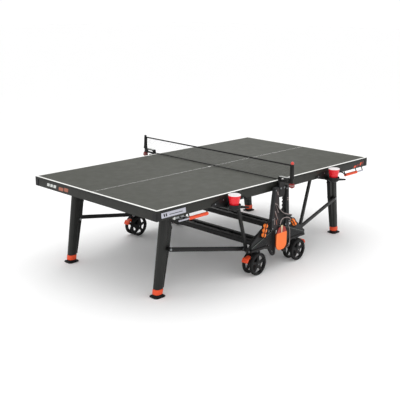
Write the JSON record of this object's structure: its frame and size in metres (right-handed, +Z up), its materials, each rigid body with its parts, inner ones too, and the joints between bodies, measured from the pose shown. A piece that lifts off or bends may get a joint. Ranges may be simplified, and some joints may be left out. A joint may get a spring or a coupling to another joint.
{
  "type": "folding table tennis table",
  "caption": "Wheeled folding table tennis table with a net, slanted legs, levelling feet, brake casters, cup holders and a bat.",
  "frame": {"origin": "on the floor, straight below the middle of the net", "axes": "+X along the table's length, +Y across it away from the side with the cups, +Z up"},
  "size_m": [2.74, 1.856, 0.938],
  "materials": {
    "playing_surface": "matte",
    "charcoal_apron": "satin",
    "satin_black_steel": "satin",
    "black_plastic": "matte",
    "wheel_black": "satin",
    "black_rubber": "matte",
    "orange_plastic": "satin",
    "red_cup": "gloss",
    "net_fabric": "matte",
    "bat_rubber": "matte"
  },
  "bodies": {
    "chassis": {"side_frame_near": "satin_black_steel", "side_frame_far": "satin_black_steel", "chassis_ladder_left": "satin_black_steel", "chassis_ladder_right": "satin_black_steel", "side_panel_left_near": "black_plastic", "side_panel_left_far": "black_plastic", "side_panel_right_near": "black_plastic", "side_panel_right_far": "black_plastic", "net_post_near": "satin_black_steel", "net_post_far": "satin_black_steel", "net": "net_fabric"},
    "guide_left": {"guide_axle_left": "satin_black_steel"},
    "half_table_left": {"playing_top_left": "playing_surface", "apron_frame_left": "charcoal_apron", "cup_holder_left": "black_plastic"},
    "legs_left": {"leg_left_near": "satin_black_steel", "leg_left_far": "satin_black_steel", "leg_axle_left": "satin_black_steel"},
    "top_prop_left_near": {"top_prop_left_near": "satin_black_steel"},
    "leg_strut_left_near": {"leg_strut_left_near": "satin_black_steel"},
    "levelling_foot_left_near": {"levelling_collar_left_near": "orange_plastic", "foot_pad_left_near": "black_rubber"},
    "caster_left_near": {"caster_fork_left_near": "black_plastic"},
    "wheels_left_near": {"wheel_pair_left_near": "wheel_black"},
    "brake_left_near": {"brake_pedal_left_near": "orange_plastic"},
    "top_prop_left_far": {"top_prop_left_far": "satin_black_steel"},
    "leg_strut_left_far": {"leg_strut_left_far": "satin_black_steel"},
    "levelling_foot_left_far": {"levelling_collar_left_far": "orange_plastic", "foot_pad_left_far": "black_rubber"},
    "caster_left_far": {"caster_fork_left_far": "black_plastic"},
    "wheels_left_far": {"wheel_pair_left_far": "wheel_black"},
    "brake_left_far": {"brake_pedal_left_far": "orange_plastic"},
    "cup_left": {"cup_left": "red_cup"},
    "release_handle_left": {"release_handle_left": "orange_plastic"},
    "guide_right": {"guide_axle_right": "satin_black_steel"},
    "half_table_right": {"playing_top_right": "playing_surface", "apron_frame_right": "charcoal_apron", "cup_holder_right": "black_plastic"},
    "legs_right": {"leg_right_near": "satin_black_steel", "leg_right_far": "satin_black_steel", "leg_axle_right": "satin_black_steel"},
    "top_prop_right_near": {"top_prop_right_near": "satin_black_steel"},
    "leg_strut_right_near": {"leg_strut_right_near": "satin_black_steel"},
    "levelling_foot_right_near": {"levelling_collar_right_near": "orange_plastic", "foot_pad_right_near": "black_rubber"},
    "caster_right_near": {"caster_fork_right_near": "black_plastic"},
    "wheels_right_near": {"wheel_pair_right_near": "wheel_black"},
    "brake_right_near": {"brake_pedal_right_near": "orange_plastic"},
    "top_prop_right_far": {"top_prop_right_far": "satin_black_steel"},
    "leg_strut_right_far": {"leg_strut_right_far": "satin_black_steel"},
    "levelling_foot_right_far": {"levelling_collar_right_far": "orange_plastic", "foot_pad_right_far": "black_rubber"},
    "caster_right_far": {"caster_fork_right_far": "black_plastic"},
    "wheels_right_far": {"wheel_pair_right_far": "wheel_black"},
    "brake_right_far": {"brake_pedal_right_far": "orange_plastic"},
    "cup_right": {"cup_right": "red_cup"},
    "release_handle_right": {"release_handle_right": "orange_plastic"},
    "net_knob_near": {"net_knob_near": "orange_plastic"},
    "net_knob_far": {"net_knob_far": "orange_plastic"},
    "bat": {"bat": "bat_rubber"}
  },
  "joints": [
    {"name": "guide_slide_left", "type": "slide", "parent": "chassis", "child": "guide_left", "axis": [-0.2325, 0, -0.9726], "range_m": [0, 0.4862]},
    {"name": "fold_left", "type": "hinge", "parent": "guide_left", "child": "half_table_left", "pos_m": [-0.03, 0, 0.69], "axis": [0, 1, 0], "range_deg": [0, 85]},
    {"name": "leg_fold_left", "type": "hinge", "parent": "half_table_left", "child": "legs_left", "pos_m": [-1.1, 0, 0.69], "axis": [0, -1, 0], "range_deg": [0, 85.1]},
    {"name": "prop_swing_left_near", "type": "hinge", "parent": "chassis", "child": "top_prop_left_near", "pos_m": [-0.356, -0.733, 0.228], "axis": [0, 1, 0], "range_deg": [0, 37.5]},
    {"name": "strut_swing_left_near", "type": "hinge", "parent": "chassis", "child": "leg_strut_left_near", "pos_m": [-0.356, -0.7, 0.228], "axis": [0, 1, 0], "range_deg": [0, 89]},
    {"name": "foot_adjust_left_near", "type": "slide", "parent": "legs_left", "child": "levelling_foot_left_near", "axis": [0, 0, -1], "range_m": [0, 0.015]},
    {"name": "caster_swivel_left_near", "type": "hinge", "parent": "chassis", "child": "caster_left_near", "pos_m": [-0.256, -0.75, 0.205], "axis": [0, 0, 1], "continuous": true},
    {"name": "wheel_roll_left_near", "type": "hinge", "parent": "caster_left_near", "child": "wheels_left_near", "pos_m": [-0.27, -0.75, 0.096], "axis": [0, 1, 0], "continuous": true},
    {"name": "brake_press_left_near", "type": "hinge", "parent": "caster_left_near", "child": "brake_left_near", "pos_m": [-0.328, -0.75, 0.16], "axis": [0, -1, 0], "range_deg": [0, 15]},
    {"name": "prop_swing_left_far", "type": "hinge", "parent": "chassis", "child": "top_prop_left_far", "pos_m": [-0.356, 0.733, 0.228], "axis": [0, 1, 0], "range_deg": [0, 37.5]},
    {"name": "strut_swing_left_far", "type": "hinge", "parent": "chassis", "child": "leg_strut_left_far", "pos_m": [-0.356, 0.7, 0.228], "axis": [0, 1, 0], "range_deg": [0, 89]},
    {"name": "foot_adjust_left_far", "type": "slide", "parent": "legs_left", "child": "levelling_foot_left_far", "axis": [0, 0, -1], "range_m": [0, 0.015]},
    {"name": "caster_swivel_left_far", "type": "hinge", "parent": "chassis", "child": "caster_left_far", "pos_m": [-0.256, 0.75, 0.205], "axis": [0, 0, 1], "continuous": true},
    {"name": "wheel_roll_left_far", "type": "hinge", "parent": "caster_left_far", "child": "wheels_left_far", "pos_m": [-0.27, 0.75, 0.096], "axis": [0, 1, 0], "continuous": true},
    {"name": "brake_press_left_far", "type": "hinge", "parent": "caster_left_far", "child": "brake_left_far", "pos_m": [-0.328, 0.75, 0.16], "axis": [0, -1, 0], "range_deg": [0, 15]},
    {"name": "cup_lift_left", "type": "slide", "parent": "half_table_left", "child": "cup_left", "axis": [0, 0, 1], "range_m": [0, 0.095]},
    {"name": "handle_pull_left", "type": "hinge", "parent": "half_table_left", "child": "release_handle_left", "pos_m": [-0.932, -0.728, 0.69], "axis": [-1, 0, 0], "range_deg": [0, 20], "stiffness_Nm_per_rad": 1.5},
    {"name": "guide_slide_right", "type": "slide", "parent": "chassis", "child": "guide_right", "axis": [0.2325, 0, -0.9726], "range_m": [0, 0.4862]},
    {"name": "fold_right", "type": "hinge", "parent": "guide_right", "child": "half_table_right", "pos_m": [0.03, 0, 0.69], "axis": [0, -1, 0], "range_deg": [0, 85]},
    {"name": "leg_fold_right", "type": "hinge", "parent": "half_table_right", "child": "legs_right", "pos_m": [1.1, 0, 0.69], "axis": [0, 1, 0], "range_deg": [0, 85.1]},
    {"name": "prop_swing_right_near", "type": "hinge", "parent": "chassis", "child": "top_prop_right_near", "pos_m": [0.356, -0.733, 0.228], "axis": [0, -1, 0], "range_deg": [0, 37.5]},
    {"name": "strut_swing_right_near", "type": "hinge", "parent": "chassis", "child": "leg_strut_right_near", "pos_m": [0.356, -0.7, 0.228], "axis": [0, -1, 0], "range_deg": [0, 89]},
    {"name": "foot_adjust_right_near", "type": "slide", "parent": "legs_right", "child": "levelling_foot_right_near", "axis": [0, 0, -1], "range_m": [0, 0.015]},
    {"name": "caster_swivel_right_near", "type": "hinge", "parent": "chassis", "child": "caster_right_near", "pos_m": [0.256, -0.75, 0.205], "axis": [0, 0, 1], "continuous": true},
    {"name": "wheel_roll_right_near", "type": "hinge", "parent": "caster_right_near", "child": "wheels_right_near", "pos_m": [0.27, -0.75, 0.096], "axis": [0, 1, 0], "continuous": true},
    {"name": "brake_press_right_near", "type": "hinge", "parent": "caster_right_near", "child": "brake_right_near", "pos_m": [0.328, -0.75, 0.16], "axis": [0, 1, 0], "range_deg": [0, 15]},
    {"name": "prop_swing_right_far", "type": "hinge", "parent": "chassis", "child": "top_prop_right_far", "pos_m": [0.356, 0.733, 0.228], "axis": [0, -1, 0], "range_deg": [0, 37.5]},
    {"name": "strut_swing_right_far", "type": "hinge", "parent": "chassis", "child": "leg_strut_right_far", "pos_m": [0.356, 0.7, 0.228], "axis": [0, -1, 0], "range_deg": [0, 89]},
    {"name": "foot_adjust_right_far", "type": "slide", "parent": "legs_right", "child": "levelling_foot_right_far", "axis": [0, 0, -1], "range_m": [0, 0.015]},
    {"name": "caster_swivel_right_far", "type": "hinge", "parent": "chassis", "child": "caster_right_far", "pos_m": [0.256, 0.75, 0.205], "axis": [0, 0, 1], "continuous": true},
    {"name": "wheel_roll_right_far", "type": "hinge", "parent": "caster_right_far", "child": "wheels_right_far", "pos_m": [0.27, 0.75, 0.096], "axis": [0, 1, 0], "continuous": true},
    {"name": "brake_press_right_far", "type": "hinge", "parent": "caster_right_far", "child": "brake_right_far", "pos_m": [0.328, 0.75, 0.16], "axis": [0, 1, 0], "range_deg": [0, 15]},
    {"name": "cup_lift_right", "type": "slide", "parent": "half_table_right", "child": "cup_right", "axis": [0, 0, 1], "range_m": [0, 0.095]},
    {"name": "handle_pull_right", "type": "hinge", "parent": "half_table_right", "child": "release_handle_right", "pos_m": [1.117, -0.728, 0.69], "axis": [-1, 0, 0], "range_deg": [0, 20], "stiffness_Nm_per_rad": 1.5},
    {"name": "knob_turn_near", "type": "hinge", "parent": "chassis", "child": "net_knob_near", "pos_m": [0, -0.904, 0.74], "axis": [0, 0, 1], "continuous": true},
    {"name": "knob_turn_far", "type": "hinge", "parent": "chassis", "child": "net_knob_far", "pos_m": [0, 0.904, 0.74], "axis": [0, 0, 1], "continuous": true},
    {"name": "bat_lift", "type": "slide", "parent": "chassis", "child": "bat", "axis": [0, 0, 1], "range_m": [0, 0.07]}
  ],
  "couplings": [
    {"joint": "guide_slide_left", "follows": "fold_left", "m_per_rad": 0.32754},
    {"joint": "leg_fold_left", "follows": "fold_left", "ratio": 1},
    {"joint": "prop_swing_left_near", "follows": "fold_left", "ratio": 0.44021},
    {"joint": "strut_swing_left_near", "follows": "fold_left", "ratio": 1.0453},
    {"joint": "prop_swing_left_far", "follows": "fold_left", "ratio": 0.44021},
    {"joint": "strut_swing_left_far", "follows": "fold_left", "ratio": 1.0453},
    {"joint": "guide_slide_right", "follows": "fold_right", "m_per_rad": 0.32754},
    {"joint": "leg_fold_right", "follows": "fold_right", "ratio": 1},
    {"joint": "prop_swing_right_near", "follows": "fold_right", "ratio": 0.44021},
    {"joint": "strut_swing_right_near", "follows": "fold_right", "ratio": 1.0453},
    {"joint": "prop_swing_right_far", "follows": "fold_right", "ratio": 0.44021},
    {"joint": "strut_swing_right_far", "follows": "fold_right", "ratio": 1.0453}
  ]
}
